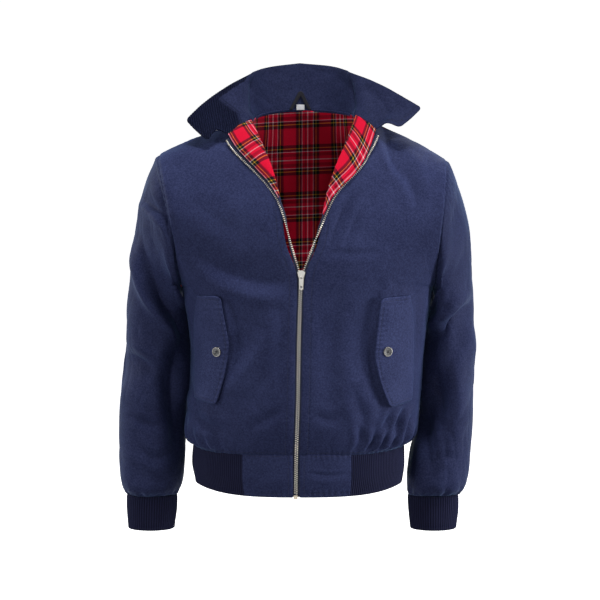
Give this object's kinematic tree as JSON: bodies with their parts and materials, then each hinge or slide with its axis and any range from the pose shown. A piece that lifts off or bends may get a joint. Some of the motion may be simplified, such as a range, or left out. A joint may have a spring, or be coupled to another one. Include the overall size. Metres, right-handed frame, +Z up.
{
  "type": "harrington jacket",
  "caption": "Hollow, waist-length jacket of plain woven cloth with a raised collar, zip front, turned-back tartan-lined edges, pocket flaps and rib-knit hem and cuffs.",
  "frame": {"origin": "middle of the neck base at the height of the inner ends of the shoulders, where the wearer holds it up", "axes": "+Z up along the body, -Y is the front with the zip, +X is the wearer's left"},
  "size_m": [0.5954, 0.264, 0.774],
  "materials": {
    "navy_cloth": "brushed cotton twill, matt with a soft sheen",
    "rib_knit": "rib knit, matt",
    "tartan_lining": "woven tartan, matt",
    "dark_tape": "woven tape, matt",
    "zip_metal": "pale, satin",
    "button": "dark, satin",
    "label_cloth": "woven label, matt"
  },
  "bodies": {
    "jacket": {"front_right": "navy_cloth", "front_left": "navy_cloth", "back": "navy_cloth", "sleeve_right": "navy_cloth", "sleeve_left": "navy_cloth", "hem_front_right": "navy_cloth", "hem_front_left": "navy_cloth", "collar": "navy_cloth", "neck_binding": "navy_cloth", "pocket_flap_right": "navy_cloth", "pocket_flap_left": "navy_cloth", "cuff_right": "rib_knit", "cuff_left": "rib_knit", "hem_rib": "rib_knit", "facing_right": "tartan_lining", "facing_left": "tartan_lining", "lining_back": "tartan_lining", "zip_tape_right": "dark_tape", "zip_tape_left": "dark_tape", "hanger_loop": "dark_tape", "zip_chain_right": "zip_metal", "zip_chain_left": "zip_metal", "zip_box": "zip_metal", "zip_slider": "zip_metal", "button_right": "button", "button_left": "button", "size_label": "label_cloth"},
    "pull_tab": {"zip_pull_tab": "zip_metal"}
  },
  "joints": [
    {"name": "pull_tab_hinge", "type": "hinge", "parent": "jacket", "child": "pull_tab", "pos_m": [0.002, -0.1326, -0.2388], "axis": [-1, 0, 0], "range_deg": [0, 165]}
  ]
}
